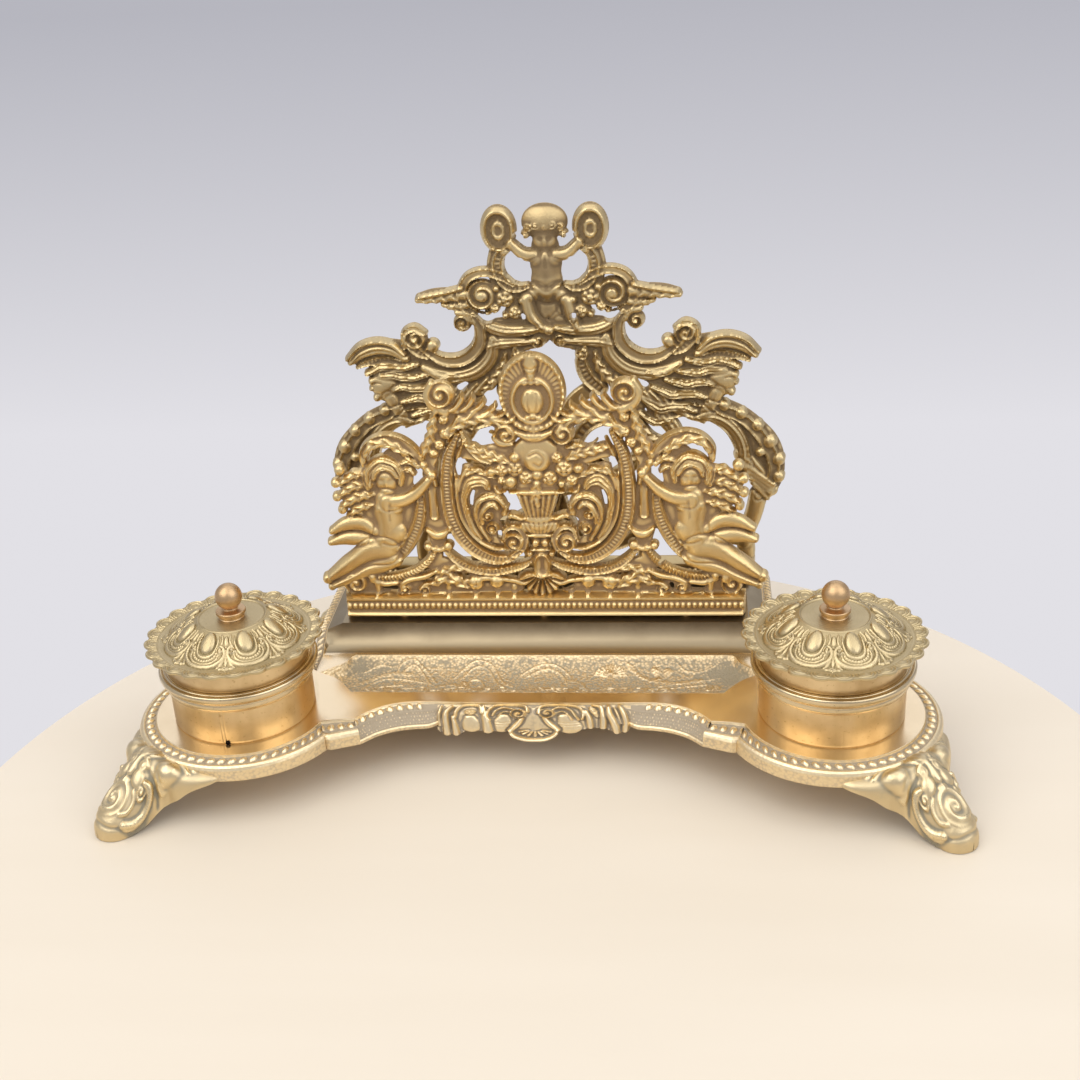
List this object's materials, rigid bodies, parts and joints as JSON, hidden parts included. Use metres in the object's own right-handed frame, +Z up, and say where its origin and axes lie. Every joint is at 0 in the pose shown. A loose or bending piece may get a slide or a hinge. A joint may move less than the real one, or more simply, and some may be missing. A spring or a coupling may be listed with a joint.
{
  "type": "desk inkstand",
  "caption": "Footed brass desk inkstand with a pen trough, a lidded ink pot on a round pad at each end and a letter rack of two pierced scrollwork panels at the back.",
  "frame": {"origin": "on the table, under the middle of the stand", "axes": "+X along the stand to the right ink pot, +Y to the back, +Z up"},
  "size_m": [0.329, 0.1696, 0.202],
  "materials": {
    "base_brass": "cast brass, tray top and cove polished, relief satin with grey-blue patina in the recesses",
    "front_panel_brass": "cast brass relief, polished high spots over a matt ground",
    "back_panel_brass": "cast brass relief, polished high spots over a darker matt ground",
    "cup_brass": "turned and polished brass",
    "lid_brass": "satin cast brass relief",
    "hardware_brass": "plain turned brass, unpolished",
    "liner_glass": "clear moulded glass"
  },
  "bodies": {
    "root": {"base_casting": "base_brass", "front_panel": "front_panel_brass", "back_panel": "back_panel_brass", "front_panel_screws": "hardware_brass", "back_panel_screws": "hardware_brass", "left_cup_wall": "cup_brass", "left_cup_floor": "cup_brass", "left_cup_rim": "cup_brass", "left_cup_bolt": "hardware_brass", "left_cup_nut": "hardware_brass", "right_cup_wall": "cup_brass", "right_cup_floor": "cup_brass", "right_cup_rim": "cup_brass", "right_cup_bolt": "hardware_brass", "right_cup_nut": "hardware_brass", "left_liner": "liner_glass", "right_liner": "liner_glass"},
    "left_lid": {"left_lid_cover": "lid_brass", "left_lid_collar": "cup_brass", "left_knob": "cup_brass", "left_knob_nut": "hardware_brass"},
    "right_lid": {"right_lid_cover": "lid_brass", "right_lid_collar": "cup_brass", "right_knob": "cup_brass", "right_knob_nut": "hardware_brass"}
  },
  "joints": [
    {"name": "left_lid_lift", "type": "slide", "parent": "root", "child": "left_lid", "axis": [0, 0, 1], "range_m": [0, 0.04]},
    {"name": "right_lid_lift", "type": "slide", "parent": "root", "child": "right_lid", "axis": [0, 0, 1], "range_m": [0, 0.04]}
  ]
}
